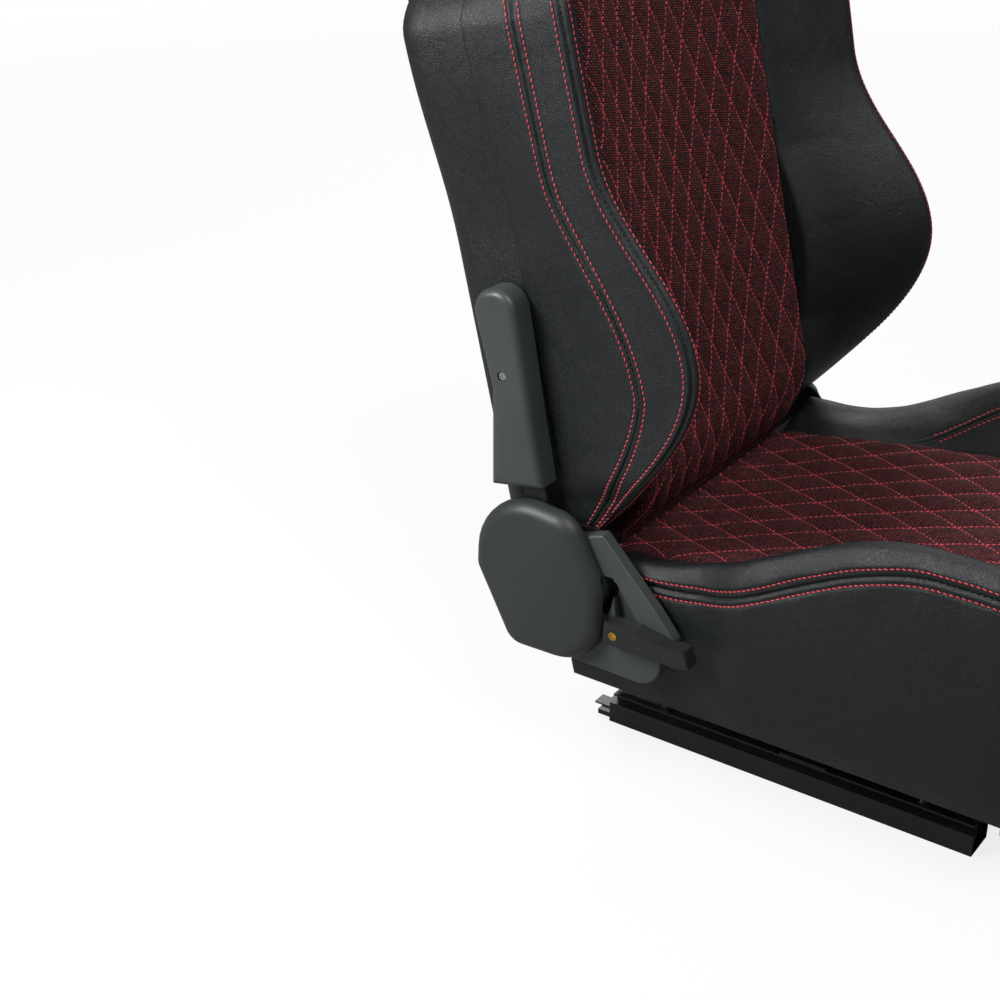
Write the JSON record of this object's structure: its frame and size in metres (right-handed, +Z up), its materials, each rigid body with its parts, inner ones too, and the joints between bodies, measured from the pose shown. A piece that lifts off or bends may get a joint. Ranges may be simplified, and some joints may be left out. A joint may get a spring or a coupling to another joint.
{
  "type": "reclining racing seat",
  "caption": "Reclining bucket seat with quilted cushions, side bolsters, recliner covers and lever, on slide rails with a release bar.",
  "frame": {"origin": "on the floor, centre of the four floor bolt holes in the bottom faces of the rails", "axes": "+Z up, the seat faces -Y, +X is the occupant's left, so the recline lever is at -X"},
  "size_m": [0.5616, 0.7297, 0.9325],
  "materials": {
    "rail_black": "matt black zinc-nickel plating",
    "frame_black": "black powder coat",
    "zinc": "bright zinc plate",
    "leather": "grey-black synthetic leather, satin",
    "fabric": "dark twill with red flecks, quilted in red",
    "plastic": "fine-grained dark grey plastic",
    "brass": "yellow-passivated steel"
  },
  "bodies": {
    "floor_rails": {"lower_rail_right": "rail_black", "lower_rail_left": "rail_black", "rail_end_pieces": "rail_black"},
    "carriage": {"upper_rail_right": "rail_black", "upper_rail_left": "rail_black", "rail_balls": "zinc", "rail_rollers": "zinc", "mounting_spacers": "zinc", "mounting_nuts": "zinc", "mounting_bolts": "zinc", "base_frame": "frame_black", "base_springs": "zinc", "base_cushion": "fabric", "base_front_roll": "leather", "base_bolster_right": "leather", "base_bolster_left": "leather", "recliner_lower_plate_right": "frame_black", "recliner_lower_plate_left": "frame_black", "fixed_discs": "zinc", "recliner_bolts": "frame_black", "pivot_pin_left": "zinc", "clock_spring": "zinc", "lever_spring": "zinc", "hinge_cover": "plastic", "hinge_cover_screws": "zinc", "bar_brackets": "frame_black", "bar_pins": "zinc"},
    "backrest": {"recliner_arm_right": "frame_black", "recliner_arm_left": "frame_black", "moving_discs": "zinc", "arm_spacers": "zinc", "arm_bolts": "zinc", "arm_cover_right": "plastic", "arm_cover_left": "plastic", "arm_cover_screws": "zinc", "back_frame": "frame_black", "back_springs": "zinc", "back_cushion": "fabric", "back_wing_right": "leather", "back_wing_left": "leather", "head_pad": "leather", "rear_shell": "leather", "rear_board": "leather", "harness_bezel_front_right": "plastic", "harness_bezel_front_left": "plastic", "harness_bezel_rear_right": "plastic", "harness_bezel_rear_left": "plastic"},
    "recline_lever": {"lever_shaft": "zinc", "lever_arm": "frame_black", "lever_grip": "plastic", "grip_screw": "brass"},
    "release_bar": {"release_bar": "frame_black", "latch_plates": "zinc"}
  },
  "joints": [
    {"name": "seat_slide", "type": "slide", "parent": "floor_rails", "child": "carriage", "axis": [0, 1, 0], "range_m": [-0.09, 0.09]},
    {"name": "back_recline", "type": "hinge", "parent": "carriage", "child": "backrest", "pos_m": [0, 0.225, 0.205], "axis": [-1, 0, 0], "range_deg": [-18, 55]},
    {"name": "lever_lift", "type": "hinge", "parent": "carriage", "child": "recline_lever", "pos_m": [0, 0.225, 0.205], "axis": [-1, 0, 0], "range_deg": [0, 28], "stiffness_Nm_per_rad": 1.5, "springref_deg": -28.65},
    {"name": "bar_lift", "type": "hinge", "parent": "carriage", "child": "release_bar", "pos_m": [0, -0.02, 0.024], "axis": [-1, 0, 0], "range_deg": [0, 8], "stiffness_Nm_per_rad": 5, "springref_deg": -20.05}
  ]
}
